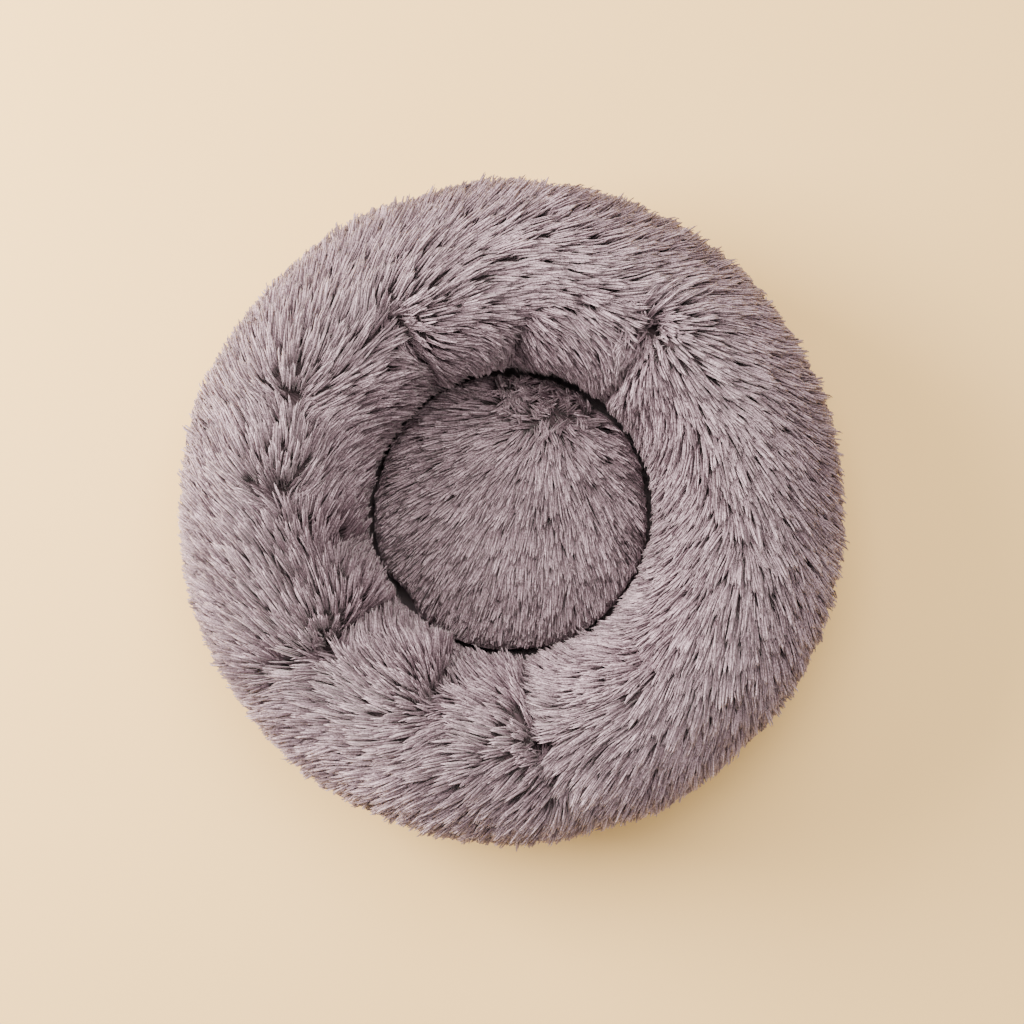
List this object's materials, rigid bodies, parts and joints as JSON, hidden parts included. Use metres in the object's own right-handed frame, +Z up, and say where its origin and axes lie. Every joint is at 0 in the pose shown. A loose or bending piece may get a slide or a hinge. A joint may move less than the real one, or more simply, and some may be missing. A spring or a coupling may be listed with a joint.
{
  "type": "round pet cushion bed",
  "caption": "Round pet bed: a filled long-pile ring on a flat non-slip base, with a domed plush cushion that lifts out of the middle and a zip low at the back.",
  "frame": {"origin": "middle of the base panel's underside, on the ground", "axes": "+Z up out of the nest; the ring is round about +Z; +Y is the back of the bed and -Y its front, and the zip runs round the back left of the base"},
  "size_m": [0.5994, 0.5994, 0.19],
  "materials": {
    "plush": "long-pile faux fur, mauve grey",
    "non_woven": "spun-bonded non-woven cloth",
    "fibre": "white polyester fibre filling",
    "oxford_cloth": "Oxford cloth with anti-slip dots",
    "tape": "woven polyester tape",
    "cotton": "plain-woven cloth",
    "satin": "satin ribbon, blank",
    "nylon": "moulded nylon coil",
    "nickel": "nickel-plated zinc alloy"
  },
  "bodies": {
    "rim": {"rim_cover_left": "plush", "rim_cover_right": "plush", "rim_bag": "non_woven", "rim_fill": "fibre", "gather_tape": "tape", "base_panel": "oxford_cloth", "base_binding": "tape", "nest_floor": "cotton", "care_label": "satin", "zip_tape_upper": "tape", "zip_tape_lower": "tape", "zip_coil_upper": "nylon", "zip_coil_lower": "nylon", "zip_top_stop_upper": "nickel", "zip_top_stop_lower": "nickel", "zip_bottom_stop": "nickel"},
    "cushion": {"cushion_top": "plush", "cushion_bottom": "cotton", "cushion_fill": "fibre"},
    "zip_slider": {"zip_slider": "nickel"},
    "zip_pull": {"zip_pull": "nickel"}
  },
  "joints": [
    {"name": "cushion_lift", "type": "slide", "parent": "rim", "child": "cushion", "axis": [0, 0, 1], "range_m": [0, 0.22]},
    {"name": "zip_travel", "type": "hinge", "parent": "rim", "child": "zip_slider", "pos_m": [0, 0, 0], "axis": [0, 0, 1], "range_deg": [0, 64.7]},
    {"name": "zip_pull_swing", "type": "hinge", "parent": "zip_slider", "child": "zip_pull", "pos_m": [-0.07271, 0.2623, 0.01745], "axis": [0, 0, -1], "range_deg": [0, 180]}
  ]
}
